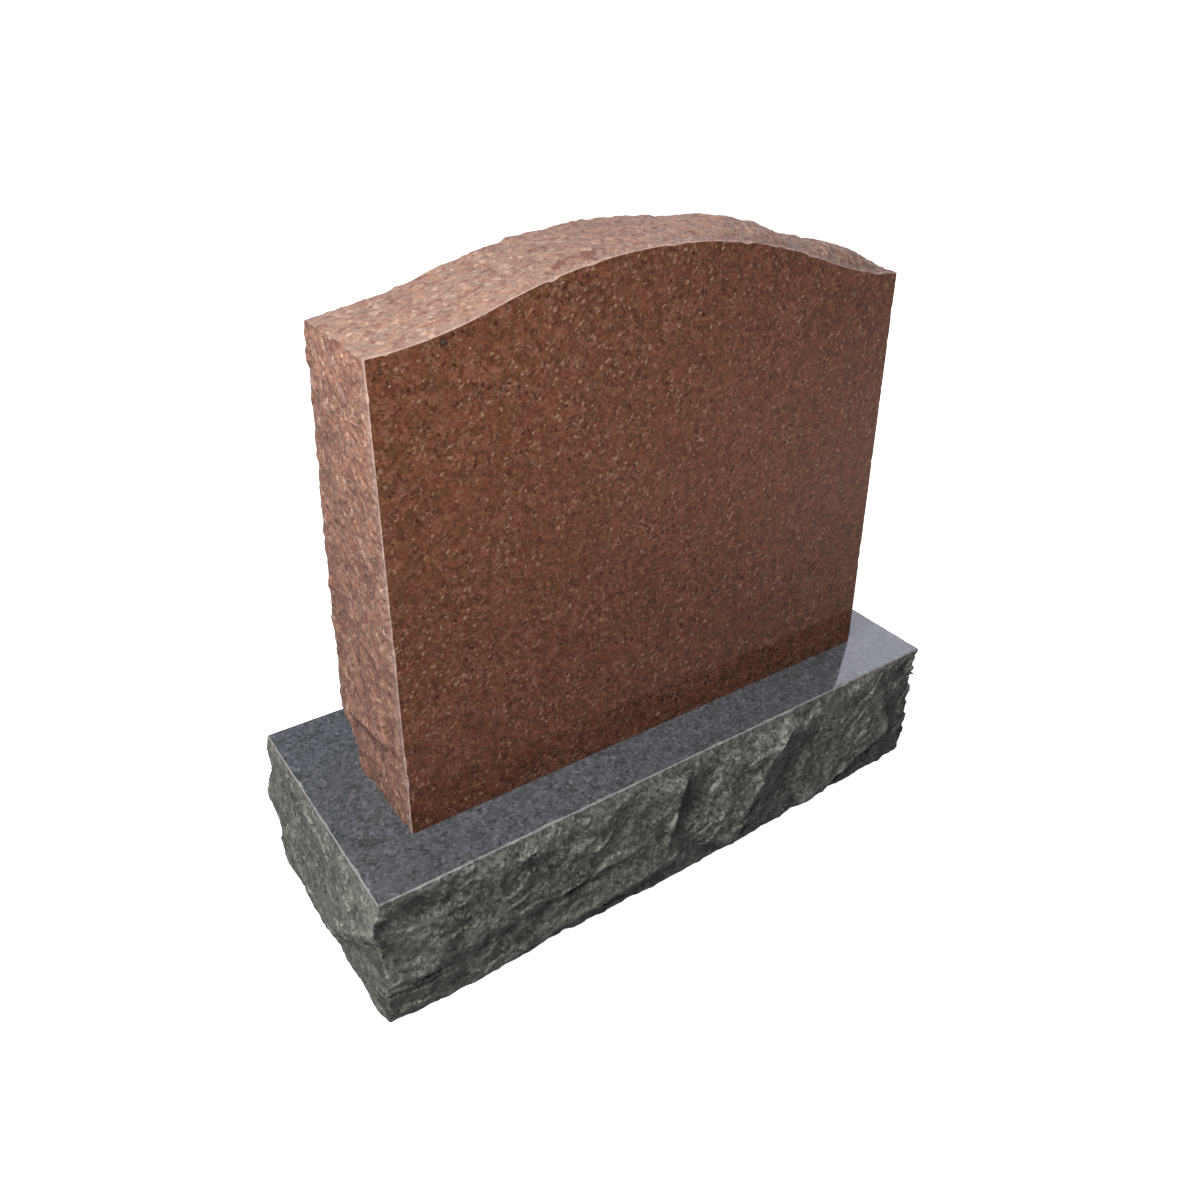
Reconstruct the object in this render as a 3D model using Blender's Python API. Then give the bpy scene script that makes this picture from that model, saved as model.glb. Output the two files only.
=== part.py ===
"""Headstone: a polished tablet with a serpentine top, standing on a rock-pitched base.

Metres, +Z up. The origin is the middle of the base's underside, the stone's length runs along X,
and the polished front of the tablet faces -Y. Polished and sawn faces are flat. The sides that a
mason breaks with hammer and pitching chisel are grids of facets. They bulge out past the arris,
step down at ledges, and are hollowed by shallow bowls, which are called spalls here.
"""
import random
from dataclasses import dataclass
from math import asin, cos, hypot, radians, sin, sqrt

import bmesh
import bpy
import numpy as np

# Tablet: width and height to the shoulders, thickness at its foot and at its shoulders
TABLET_WIDTH = 0.600
SHOULDER_HEIGHT = 0.446
FOOT_THICKNESS = 0.150
SHOULDER_THICKNESS = 0.116

# Serpentine top: a crown arc between two turns, and a hollow arc from each turn to its shoulder
CROWN_RISE = 0.056
CROWN_RADIUS = 0.556
CROWN_SPAN = 0.372

# Base: its height, and the polished margin that it shows past the tablet's ends and past its faces
BASE_HEIGHT = 0.160
END_MARGIN = 0.0620
FACE_MARGIN = 0.0585
BASE_LENGTH = TABLET_WIDTH + 2 * END_MARGIN
BASE_DEPTH = FOOT_THICKNESS + 2 * FACE_MARGIN

# The tablet stands a hair above the base's polished top
SETTING_GAP = 0.0003

# Broken faces: how far they bulge past the arris
BASE_FRONT_SWELL = 0.0065
BASE_END_SWELL = 0.0050
BASE_BACK_SWELL = 0.0065
TABLET_SIDE_SWELL = 0.0025
TABLET_TOP_SWELL = 0.0040

# The bulge grows from nothing at the polished arris and keeps a share of itself at the far edge and corners
EDGE_RUN = 0.030
CORNER_RUN = 0.060
FAR_SHARE = 0.50
CORNER_SHARE = 0.35

# A ledge dies away past its ends over this share of its length
LEDGE_TAPER = 0.15

# Small spalls that cover a broken face: half size, depth for its size, and how many to a square metre
SMALL_SPALL = (0.016, 0.040)
SMALL_SPALL_DEPTH = 0.09
SMALL_SPALLS_PER_AREA = 900
SMALL_SPALL_SLIMNESS = (0.45, 0.85)

# The tablet's stone breaks smoother, so its small spalls are shallower
TABLET_SIDE_SPALL_SHARE = 0.7
TABLET_TOP_SPALL_SHARE = 0.5

# Seeds of the small spalls of each broken face
TABLET_LEFT_SEED = 11
TABLET_TOP_SEED = 12
TABLET_RIGHT_SEED = 13
BASE_FRONT_SEED = 21
BASE_RIGHT_SEED = 22
BASE_BACK_SEED = 23
BASE_LEFT_SEED = 24

# Side of a facet on a broken face
FACET = 0.0130

# Colour and roughness of the two granites
RED_GRANITE = (0.155, 0.060, 0.042)
RED_ROUGHNESS = 0.35
DARK_GRANITE = (0.075, 0.080, 0.078)
DARK_ROUGHNESS = 0.45

# Ledges: start along and down, end along and down, then height, rise and fall
BASE_FRONT_LEDGES = (
    (0.675, 0.06, 0.565, 0.82, 0.085, 0.50, 0.34),
    (0.930, 0.62, 0.750, 0.92, 0.060, 0.55, 0.14),
    (0.470, 0.16, 0.440, 0.74, 0.040, 0.36, 0.08),
    (0.440, 0.76, 0.150, 0.94, 0.045, 0.34, 0.14),
    (0.370, 0.52, -0.02, 0.64, 0.032, 0.30, 0.18),
)
BASE_LEFT_LEDGES = (
    (0.560, 0.84, -0.05, 0.48, 0.045, 0.44, 0.12),
    (1.020, 0.20, 0.560, 0.84, 0.045, 0.44, 0.12),
)
BASE_RIGHT_LEDGES = (
    (0.650, 0.80, -0.05, 0.84, 0.050, 0.40, 0.14),
)
TABLET_LEFT_LEDGES = (
    (0.155, 0.80, 0.190, 0.22, 0.034, 0.34, 0.09),
)

# Spalls: place along and down, half length, half width, depth and turn in degrees
BASE_FRONT_SPALLS = (
    (0.065, 0.15, 0.32, 0.13, 0.030, 0),
    (0.580, 1.02, 1.50, 0.70, -0.030, 0),
    (0.960, 1.00, 0.60, 0.40, -0.015, 0),
    (0.940, 0.12, 0.25, 0.14, 0.030, 0),
)
BASE_LEFT_SPALLS = (
    (0.300, 1.05, 0.70, 0.30, -0.020, 0),
)
BASE_RIGHT_SPALLS = (
    (0.050, 0.14, 0.25, 0.16, 0.045, 0),
    (0.550, 0.50, 0.40, 0.20, 0.030, 15),
)
TABLET_LEFT_SPALLS = (
    (0.000, 1.00, 0.34, 0.22, 0.070, 0),
)
TABLET_TOP_SPALLS = (
    (0.670, 0.60, 0.85, 0.60, -0.090, 0),
    (0.885, 0.50, 0.62, 0.55, -0.120, 0),
)


@dataclass
class Spall:
    """A shallow bowl out of a broken face, or a lump left standing on it where the depth is negative."""
    along: float
    down: float
    half_length: float
    half_width: float
    depth: float
    turn: float = 0.0

    def bowl(self, along, down):
        """Depth of this bowl at places along and down the face, and nought or less outside it."""
        c, s = cos(radians(self.turn)), sin(radians(self.turn))
        u = ((along - self.along) * c + (down - self.down) * s) / self.half_length
        v = ((down - self.down) * c - (along - self.along) * s) / self.half_width
        return abs(self.depth) * (1.0 - u * u - v * v)


@dataclass
class Ledge:
    """A step in a broken face: it rises to the line from start to end, then drops behind that line."""
    start: tuple
    end: tuple
    height: float
    rise: float
    fall: float

    def step(self, along, down):
        """Height of this ledge at places along and down the face."""
        length = hypot(self.end[0] - self.start[0], self.end[1] - self.start[1])
        way = ((self.end[0] - self.start[0]) / length, (self.end[1] - self.start[1]) / length)
        a, d = along - self.start[0], down - self.start[1]
        on = (a * way[0] + d * way[1]) / length
        past = a * way[1] - d * way[0]
        flank = np.where(past < 0.0, np.clip(1.0 + past / self.rise, 0.0, 1.0),
                         np.clip(1.0 - past / self.fall, 0.0, 1.0) ** 1.5)
        ends = np.clip(np.minimum(on, 1.0 - on) / LEDGE_TAPER + 1.0, 0.0, 1.0)
        return self.height * flank * ends * ends * (3.0 - 2.0 * ends)


class BrokenFace:
    """One rock-pitched side: its length, its drop from the arris, its swell, ledges and spalls.

    Hand-placed ledges and spalls come as shares: a place along the length and down the drop, and
    every size as a share of the drop.
    """

    def __init__(self, length, drop, swell, seed, ledges=(), spalls=(), small_depth=1.0):
        self.length, self.drop, self.swell = length, drop, swell
        self.ledges = [Ledge((a0 * length, d0 * drop), (a1 * length, d1 * drop),
                             height * drop, rise * drop, fall * drop)
                       for a0, d0, a1, d1, height, rise, fall in ledges]
        self.spalls = [Spall(a * length, d * drop, hl * drop, hw * drop, depth * drop, turn)
                       for a, d, hl, hw, depth, turn in spalls]
        draw = random.Random(seed)
        self.small = []
        for _ in range(round(length * drop * SMALL_SPALLS_PER_AREA)):
            half = draw.uniform(*SMALL_SPALL)
            slim = draw.uniform(*SMALL_SPALL_SLIMNESS)
            depth = half * SMALL_SPALL_DEPTH * draw.uniform(0.5, 1.0) * small_depth
            self.small.append(Spall(draw.uniform(0, length), draw.uniform(0, drop),
                                    half, half * slim, depth, draw.uniform(0, 180)))

    def relief(self, along, down):
        """How far the face stands out of the flat at places along and down it."""
        near = np.clip(down / EDGE_RUN, 0.0, 1.0)
        far = np.clip(2.0 - 2.0 * down / self.drop, 0.0, 1.0)
        end = np.clip(np.minimum(along, self.length - along) / CORNER_RUN, 0.0, 1.0)
        swell = self.swell * (FAR_SHARE + (1.0 - FAR_SHARE) * far * (2.0 - far))
        height = swell * (CORNER_SHARE + (1.0 - CORNER_SHARE) * end * (2.0 - end))
        step = np.zeros(np.shape(along))
        for ledge in self.ledges:
            step = np.maximum(step, ledge.step(along, down))
        for spall in self.spalls:
            bowl = np.maximum(spall.bowl(along, down), 0.0)
            height = height + bowl if spall.depth < 0.0 else height - bowl
        broken = np.zeros(np.shape(along))
        for spall in self.small:
            broken = np.maximum(broken, spall.bowl(along, down))
        return near * (2.0 - near) * (height + step - broken)


@dataclass
class Run:
    """One stretch of a stone's outline, in the plane of its polished face, and the face broken along it."""
    points: np.ndarray
    outward: np.ndarray
    face: BrokenFace

    @property
    def along(self):
        steps = np.hypot(*np.diff(self.points, axis=0).T)
        return np.concatenate([[0.0], np.cumsum(steps)])

    @property
    def forward(self):
        """Unit direction along the outline, a quarter turn from the outward one."""
        way = self.points[-1] - self.points[0]
        quarter = np.stack([self.outward[:, 1], -self.outward[:, 0]], axis=1)
        return quarter * np.sign(quarter @ way)[:, None]


def facets_in(length):
    return max(2, round(length / FACET))


def straight(start, end, outward, face):
    """A straight stretch of outline from one corner to the next."""
    share = np.linspace(0.0, 1.0, facets_in(np.hypot(*np.subtract(end, start))) + 1)[:, None]
    points = np.asarray(start) * (1.0 - share) + np.asarray(end) * share
    return Run(points, np.tile(np.asarray(outward, float), (len(points), 1)), face)


def broken_row(run, before, after, down):
    """The outline stretch at a depth below the arris, moved out by its relief.

    Near a corner the points also slide along the stretch, so that they meet the neighbour's face.
    """
    along = run.along
    slide = np.zeros(len(along))
    if before is not None:
        pull = before.face.relief(before.along[-1], down)
        slide -= pull * np.clip(1.0 - along / CORNER_RUN, 0.0, 1.0)
    if after is not None:
        pull = after.face.relief(0.0, down)
        slide += pull * np.clip(1.0 - (along[-1] - along) / CORNER_RUN, 0.0, 1.0)
    out = run.face.relief(along, down)
    return run.points + run.forward * slide[:, None] + run.outward * out[:, None]


def outline_at(runs, down, all_round):
    """All stretches of an outline at one depth below the arris, as one row of points."""
    row = []
    for i, run in enumerate(runs):
        before = runs[i - 1] if all_round or i > 0 else None
        after = runs[(i + 1) % len(runs)] if all_round or i + 1 < len(runs) else None
        points = broken_row(run, before, after, down)
        row.extend(points if after is None else points[:-1])
    return np.array(row)


def granite(name, colour, roughness):
    stone = bpy.data.materials.new(name)
    stone.use_nodes = True
    shader = stone.node_tree.nodes["Principled BSDF"]
    shader.inputs["Base Color"].default_value = (*colour, 1.0)
    shader.inputs["Roughness"].default_value = roughness
    shader.inputs["Metallic"].default_value = 0.0
    return stone


def stone_block(name, rows, all_round, material, height, seam=None):
    """A closed block that stands at a height: rows of points from the polished face to the far one.

    Rows that run all round meet their own start. Rows that don't end on a flat foot, which is closed.
    A seam joins two points of the first row, and parts the polished face there into two flat faces.
    """
    block = bmesh.new()
    grid = [[block.verts.new(point) for point in row] for row in rows]
    broken = []
    for near, far in zip(grid, grid[1:]):
        pairs = list(zip(range(len(near)), range(1, len(near))))
        if all_round:
            pairs.append((len(near) - 1, 0))
        for i, j in pairs:
            broken.append(block.faces.new((near[i], near[j], far[j], far[i])))
    polished = block.faces.new(grid[0])
    if seam:
        bmesh.utils.face_split(polished, grid[0][seam[0]], grid[0][seam[1]])
    block.faces.new(grid[-1])
    if not all_round:
        block.faces.new([row[0] for row in grid] + [row[-1] for row in reversed(grid)])
    bmesh.ops.triangulate(block, faces=broken, quad_method="SHORT_EDGE")
    bmesh.ops.recalc_face_normals(block, faces=block.faces)
    mesh = bpy.data.meshes.new(name)
    block.to_mesh(mesh)
    block.free()
    mesh.materials.append(material)
    stone = bpy.data.objects.new(name, mesh)
    stone.location.z = height
    bpy.context.scene.collection.objects.link(stone)
    return stone


def serpentine(x):
    """Height of the top arris over the tablet's foot at a place across its width, and its slope."""
    turn = CROWN_SPAN / 2
    top = SHOULDER_HEIGHT + CROWN_RISE
    turn_height = top - CROWN_RADIUS + sqrt(CROWN_RADIUS ** 2 - turn ** 2)
    if abs(x) <= turn:
        lean = asin(x / CROWN_RADIUS)
        return top - CROWN_RADIUS * (1.0 - cos(lean)), -lean
    lean = asin(turn / CROWN_RADIUS)
    normal = (sin(lean), cos(lean))
    reach = (TABLET_WIDTH / 2 - turn, SHOULDER_HEIGHT - turn_height)
    hollow = (reach[0] ** 2 + reach[1] ** 2) / (2.0 * (normal[0] * reach[0] + normal[1] * reach[1]))
    centre = (turn + hollow * normal[0], turn_height + hollow * normal[1])
    back = asin((centre[0] - abs(x)) / hollow)
    return centre[1] - hollow * cos(back), -back if x > 0 else back


def serpentine_run():
    """The top arris from the left shoulder to the right one."""
    count = facets_in(TABLET_WIDTH)
    points, outward = [], []
    for i in range(count + 1):
        x = TABLET_WIDTH * (i / count - 0.5)
        height, slope = serpentine(x)
        points.append((x, height))
        outward.append((-sin(slope), cos(slope)))
    run = Run(np.array(points), np.array(outward), None)
    run.face = BrokenFace(run.along[-1], SHOULDER_THICKNESS, TABLET_TOP_SWELL, TABLET_TOP_SEED,
                          spalls=TABLET_TOP_SPALLS, small_depth=TABLET_TOP_SPALL_SHARE)
    return run


def tablet():
    """The upright stone: its front leans back from the foot, and its back stands upright."""
    left = BrokenFace(SHOULDER_HEIGHT, FOOT_THICKNESS, TABLET_SIDE_SWELL, TABLET_LEFT_SEED,
                      TABLET_LEFT_LEDGES, TABLET_LEFT_SPALLS, TABLET_SIDE_SPALL_SHARE)
    right = BrokenFace(SHOULDER_HEIGHT, FOOT_THICKNESS, TABLET_SIDE_SWELL, TABLET_RIGHT_SEED,
                       small_depth=TABLET_SIDE_SPALL_SHARE)
    half = TABLET_WIDTH / 2
    runs = [straight((-half, 0.0), (-half, SHOULDER_HEIGHT), (-1.0, 0.0), left),
            serpentine_run(),
            straight((half, SHOULDER_HEIGHT), (half, 0.0), (1.0, 0.0), right)]
    rows = []
    count = facets_in(FOOT_THICKNESS)
    lean = (FOOT_THICKNESS - SHOULDER_THICKNESS) / SHOULDER_HEIGHT
    for i in range(count + 1):
        share = i / count
        outline = outline_at(runs, share * FOOT_THICKNESS, all_round=False)
        front = -FOOT_THICKNESS / 2 + lean * outline[:, 1]
        depth = front + share * (FOOT_THICKNESS / 2 - front)
        rows.append(np.stack([outline[:, 0], depth, outline[:, 1]], axis=1))
    red = granite("red granite", RED_GRANITE, RED_ROUGHNESS)
    return stone_block("tablet", rows, False, red, BASE_HEIGHT + SETTING_GAP)


def base():
    """The block under the tablet: polished on top, broken on all four sides, flat underneath."""
    x, y = BASE_LENGTH / 2, BASE_DEPTH / 2
    front = BrokenFace(BASE_LENGTH, BASE_HEIGHT, BASE_FRONT_SWELL, BASE_FRONT_SEED,
                       BASE_FRONT_LEDGES, BASE_FRONT_SPALLS)
    right = BrokenFace(BASE_DEPTH, BASE_HEIGHT, BASE_END_SWELL, BASE_RIGHT_SEED,
                       BASE_RIGHT_LEDGES, BASE_RIGHT_SPALLS)
    back = BrokenFace(BASE_LENGTH, BASE_HEIGHT, BASE_BACK_SWELL, BASE_BACK_SEED)
    left = BrokenFace(BASE_DEPTH, BASE_HEIGHT, BASE_END_SWELL, BASE_LEFT_SEED,
                      BASE_LEFT_LEDGES, BASE_LEFT_SPALLS)
    runs = [straight((-x, -y), (x, -y), (0.0, -1.0), front),
            straight((x, -y), (x, y), (1.0, 0.0), right),
            straight((x, y), (-x, y), (0.0, 1.0), back),
            straight((-x, y), (-x, -y), (-1.0, 0.0), left)]
    rows = []
    count = facets_in(BASE_HEIGHT)
    for i in range(count + 1):
        down = BASE_HEIGHT * i / count
        outline = outline_at(runs, down, all_round=True)
        height = np.full((len(outline), 1), BASE_HEIGHT - down)
        rows.append(np.hstack([outline, height]))
    margin = int(FACE_MARGIN / (BASE_DEPTH / facets_in(BASE_DEPTH)))
    seam = (facets_in(BASE_LENGTH) + margin, -margin)
    dark = granite("dark granite", DARK_GRANITE, DARK_ROUGHNESS)
    return stone_block("base", rows, True, dark, 0.0, seam)


for old in list(bpy.data.objects):
    bpy.data.objects.remove(old)
headstone = bpy.data.objects.new("headstone", None)
bpy.context.scene.collection.objects.link(headstone)
for stone in (base(), tablet()):
    stone.parent = headstone
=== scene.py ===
# %% [markdown]
# # A headstone of two granites
#
# The stone has two pieces. A tablet of red granite stands on a base of dark granite. Its front and
# the top of the base are polished; the sides are broken by hammer and chisel, which leaves hollows,
# ledges and a coarse grain.
#
# The solids already have the outline and the broken forms that show from a step away. Here they get
# the finer break, the worn arris and the stone itself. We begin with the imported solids, and keep their
# box, because nothing we add may change the stone's size.

# %% Load the solids
import random
from math import cos, pi, radians, sin

import bmesh
import bpy
import numpy as np
from mathutils import Matrix, Vector


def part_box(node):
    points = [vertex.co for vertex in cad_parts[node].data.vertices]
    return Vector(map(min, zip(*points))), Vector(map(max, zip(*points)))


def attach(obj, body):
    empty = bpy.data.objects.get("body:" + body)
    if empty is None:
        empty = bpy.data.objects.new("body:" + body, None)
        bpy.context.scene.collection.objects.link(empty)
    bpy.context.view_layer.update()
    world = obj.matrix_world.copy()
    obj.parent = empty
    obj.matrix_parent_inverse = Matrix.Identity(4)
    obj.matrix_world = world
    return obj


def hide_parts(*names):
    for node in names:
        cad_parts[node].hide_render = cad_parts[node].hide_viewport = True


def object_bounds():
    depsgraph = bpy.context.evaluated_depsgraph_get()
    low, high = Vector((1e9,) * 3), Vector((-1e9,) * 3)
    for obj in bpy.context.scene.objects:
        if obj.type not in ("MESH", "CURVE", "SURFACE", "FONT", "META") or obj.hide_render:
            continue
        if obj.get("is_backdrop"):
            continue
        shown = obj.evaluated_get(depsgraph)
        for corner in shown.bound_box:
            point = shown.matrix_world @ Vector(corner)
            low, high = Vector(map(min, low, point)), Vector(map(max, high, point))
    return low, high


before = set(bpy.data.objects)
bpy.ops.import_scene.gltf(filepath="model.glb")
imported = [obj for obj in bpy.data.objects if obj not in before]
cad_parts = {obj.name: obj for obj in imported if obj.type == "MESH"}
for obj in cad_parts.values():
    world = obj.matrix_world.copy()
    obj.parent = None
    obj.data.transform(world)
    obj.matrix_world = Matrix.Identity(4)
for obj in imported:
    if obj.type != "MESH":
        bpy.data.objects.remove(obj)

SOLID_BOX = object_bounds()
for name in sorted(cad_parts):
    low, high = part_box(name)
    print(name, "from", tuple(round(v, 4) for v in low), "to", tuple(round(v, 4) for v in high))

# %% [markdown]
# ## The camera
#
# The stone is seen from the front left and from above, with the camera held a little askew. A camera
# is placed by four plain facts: where it stands, which way it looks (azimuth, from +Y towards +X, and
# degrees below the horizon), and how far it is rolled about its own line of sight. They give the three
# directions of a matrix, so nothing is left to a constraint.

# %% Camera
CAMERA_PLACE = Vector((-0.58120, -0.70190, 0.84499))
CAMERA_AZIMUTH = radians(37.042)
CAMERA_DROP = radians(29.676)
CAMERA_ROLL = radians(2.88)
CAMERA_LENS = 29.696
CAMERA_SHIFT = (0.007344, -0.033453)


def new_object(name, data):
    made = bpy.data.objects.new(name, data)
    bpy.context.scene.collection.objects.link(made)
    return made


def make_camera():
    """The camera, placed by its line of sight and its roll."""
    sight = Vector((sin(CAMERA_AZIMUTH) * cos(CAMERA_DROP), cos(CAMERA_AZIMUTH) * cos(CAMERA_DROP),
                    -sin(CAMERA_DROP)))
    level = Vector((cos(CAMERA_AZIMUTH), -sin(CAMERA_AZIMUTH), 0))
    right = level * cos(CAMERA_ROLL) + level.cross(sight) * sin(CAMERA_ROLL)
    turned = Matrix((right, right.cross(sight), -sight)).transposed()
    camera = new_object("camera", bpy.data.cameras.new("camera"))
    camera.matrix_world = Matrix.Translation(CAMERA_PLACE) @ turned.to_4x4()
    camera.data.lens = CAMERA_LENS
    camera.data.shift_x, camera.data.shift_y = CAMERA_SHIFT
    bpy.context.scene.camera = camera
    return camera


print("camera looks along", tuple(round(v, 3) for v in -make_camera().matrix_world.col[2].to_3d()))

# %% [markdown]
# ## Writing node trees as Python
#
# Materials and geometry trees are both made of nodes. Placing them one by one hides what they work
# out, so we wrap a socket in a small class that knows Python's operators: `1 - mask` then adds the
# Math node for us. `Graph.node` makes every other node, and sets its settings before its sockets.
# `Graph.give` also feeds a material's shader.

# %% Graph and Wire
def operator(operation, swapped=False):
    """One of Python's operators for wires: it adds a Math node."""
    def apply(wire, other):
        return wire.graph.maths(operation, *((other, wire) if swapped else (wire, other)))
    return apply


class Wire:
    """One output of a node tree, with Python's operators for numbers."""

    def __init__(self, graph, socket):
        self.graph, self.socket = graph, socket

    def output(self, name):
        """Another output of the same node."""
        return Wire(self.graph, self.socket.node.outputs[name])

    __add__ = __radd__ = operator("ADD")
    __mul__ = __rmul__ = operator("MULTIPLY")
    __sub__, __rsub__ = operator("SUBTRACT"), operator("SUBTRACT", swapped=True)
    __truediv__, __rtruediv__ = operator("DIVIDE"), operator("DIVIDE", swapped=True)
    __gt__, __lt__ = operator("GREATER_THAN"), operator("LESS_THAN")

    def ramp(self, low, high, to_low=0.0, to_high=1.0):
        """This value taken smoothly from one range to another, and held at its ends."""
        return self.graph.node("ShaderNodeMapRange", {"interpolation_type": "SMOOTHSTEP"},
                               {0: self, 1: low, 2: high, 3: to_low, 4: to_high})


class Graph:
    """A node tree to which nodes are added by calling."""

    def __init__(self, tree):
        self.tree = tree

    def give(self, node, sockets):
        """Gives sockets of a node their values, or the wires that feed them."""
        for name, value in sockets.items():
            if isinstance(value, Wire):
                self.tree.links.new(value.socket, node.inputs[name])
            else:
                node.inputs[name].default_value = value

    def node(self, kind, settings=None, sockets=None, output=0):
        """Adds a node: its settings first, then its sockets."""
        made = self.tree.nodes.new(kind)
        for name, value in (settings or {}).items():
            setattr(made, name, value)
        self.give(made, sockets or {})
        return Wire(self, made.outputs[output])

    def end(self, kind, sockets):
        """Adds a node that has no outputs."""
        self.give(self.tree.nodes.new(kind), sockets)

    def maths(self, operation, *values):
        return self.node("ShaderNodeMath", {"operation": operation}, dict(enumerate(values)))

    def mix(self, share, first, second):
        """A colour between two others. Colours go through Mix, because Math would make them grey."""
        pick = [(*c, 1.0) if isinstance(c, tuple) else c for c in (first, second)]
        return self.node("ShaderNodeMix", {"data_type": "RGBA"}, {0: share, 6: pick[0], 7: pick[1]}, 2)

    def noise(self, place, size, detail=2.0, roughness=0.5, output=0):
        """Soft random values, with features about as wide as size."""
        return self.node("ShaderNodeTexNoise", {}, {"Vector": place, "Scale": 1.0 / size,
                                                    "Detail": detail, "Roughness": roughness}, output)

    def cells(self, place, size):
        """Random cells about as wide as size: the distance from the middle of each."""
        return self.node("ShaderNodeTexVoronoi", {}, {"Vector": place, "Scale": 1.0 / size}, "Distance")

    def vector(self, operation, first, second, output=0):
        return self.node("ShaderNodeVectorMath", {"operation": operation}, {0: first, 1: second}, output)

    def scaled(self, vector, factor):
        return self.node("ShaderNodeVectorMath", {"operation": "SCALE"}, {0: vector, "Scale": factor})

    def dot(self, first, second):
        return self.vector("DOT_PRODUCT", first, second, "Value")

    def part(self, vector, axis="X"):
        return self.node("ShaderNodeSeparateXYZ", {}, {0: vector}, axis)

    def centred(self, colour):
        """A random colour as a step that may point any way: a half is taken off each channel."""
        return self.vector("SUBTRACT", colour, (0.5, 0.5, 0.5))


def start_material(name):
    """A new material, with its graph and its shader."""
    material = bpy.data.materials.new(name)
    material.use_nodes = True
    return material, Graph(material.node_tree), material.node_tree.nodes["Principled BSDF"]


# %% [markdown]
# ## Light
#
# One large soft light stands above the left end of the stone, and a second, cooler one behind it at
# the right, which shows as a bright reflection on the right end of the base. The room fills in: dim at
# eye level, so that the polished faces mirror something dark, and brighter overhead and from below.

# %% Sky, key light and back light
SKY_OVERHEAD = 0.16
SKY_LOW = 0.06
SKY_BELOW = 0.42
SKY_TURN = (0.45, 0.85)
SKY_HORIZON = 0.02
LIGHTS = {
    "key light": {"shape": "DISK", "size": 0.9, "power": 48.5, "colour": (1.0, 0.97, 0.93),
                  "place": Vector((-1.03, -0.36, 1.60)), "target": Vector((0.2, 0, 0.6))},
    "back light": {"shape": "SQUARE", "size": 2.3, "power": 49.0, "colour": (0.86, 0.87, 1.0),
                   "place": Vector((2.05, 1.45, 1.45)), "target": Vector((0.33, 0, 0.16))},
}


def make_sky():
    """A world that is bright below, dim at eye level and a little brighter overhead."""
    world = bpy.data.worlds.new("studio")
    world.use_nodes = True
    bpy.context.scene.world = world
    world.node_tree.nodes.clear()
    sky = Graph(world.node_tree)
    way = sky.node("ShaderNodeTexCoord", {}, {}, "Generated")
    height = sky.part(way, "Z")
    above = height.ramp(*SKY_TURN, 0.0, SKY_OVERHEAD - SKY_LOW)
    glow = above + height.ramp(-SKY_HORIZON, SKY_HORIZON, SKY_BELOW, SKY_LOW)
    sky.end("ShaderNodeOutputWorld", {"Surface": sky.node("ShaderNodeBackground", {}, {"Strength": glow})})


def make_light(name, shape, size, power, colour, place, target):
    """A soft light that faces a target, and isn't seen itself."""
    light = bpy.data.lights.new(name, "AREA")
    light.shape, light.size, light.energy, light.color = shape, size, power, colour
    lamp = new_object(name, light)
    lamp.visible_camera = False
    turned = (place - target).to_track_quat("Z", "Y").to_matrix()
    lamp.matrix_world = Matrix.Translation(place) @ turned.to_4x4()


make_sky()
for name, facts in LIGHTS.items():
    make_light(name, **facts)
    print(name, "of", facts["power"], "watts")
bpy.context.scene.view_settings.view_transform = "Standard"

# %% [markdown]
# ## Floor and backdrop
#
# The floor is a plain sheet with a wall far off round it. Both glow white, so that no shadow shows on
# them, but their glow doesn't reach the stone, where it would fill the hollows of the broken sides.
# Polished stone mirrors another sheet, which grows dimmer towards the stone and far off to its right,
# as the floor of a dim room does.

# %% Floor and backdrop
FLOOR_REACH = 14.0
FLOOR_SIDES = 48
WALL_HEIGHT = 9.0
PAPER_COLOUR = (0.85, 0.85, 0.85)
PAPER_ROUGHNESS = 0.9
MIRRORED_MIDDLE = (0.40, 0.10, 0.0)
MIRRORED_REACH = (0.40, 1.30)
MIRRORED_GLOW = (0.40, 0.88)
MIRRORED_SIDE = (1.0, 4.0)
MIRRORED_SIDE_SHARE = 0.6


def glowing(name, colour):
    """A matt material that also glows white, with its graph and its shader."""
    material, g, shader = start_material(name)
    g.give(shader, {"Base Color": (*colour, 1.0), "Roughness": PAPER_ROUGHNESS,
                    "Emission Color": (1.0, 1.0, 1.0, 1.0), "Emission Strength": 1.0})
    return material, g, shader


def mirrored_paper():
    """The floor as polished stone mirrors it: white, but dimmer near the stone and far to the right."""
    material, g, shader = glowing("mirrored paper", (0.0, 0.0, 0.0))
    place = g.node("ShaderNodeTexCoord", {}, {}, "Object")
    away = g.vector("DISTANCE", place, MIRRORED_MIDDLE, "Value")
    aside = g.part(place).ramp(*MIRRORED_SIDE, 1.0, MIRRORED_SIDE_SHARE)
    g.give(shader, {"Emission Color": away.ramp(*MIRRORED_REACH, *MIRRORED_GLOW) * aside})
    return material


def unseen(thing, *ways):
    """Hides a thing from some kinds of light rays: camera, diffuse, glossy or shadow."""
    for way in ways:
        setattr(thing, "visible_" + way, False)


def stage_sheet(name, points, faces, material):
    mesh = bpy.data.meshes.new(name)
    mesh.from_pydata(points, [], faces)
    mesh.materials.append(material)
    sheet = new_object(name, mesh)
    sheet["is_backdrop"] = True
    return sheet


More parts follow.
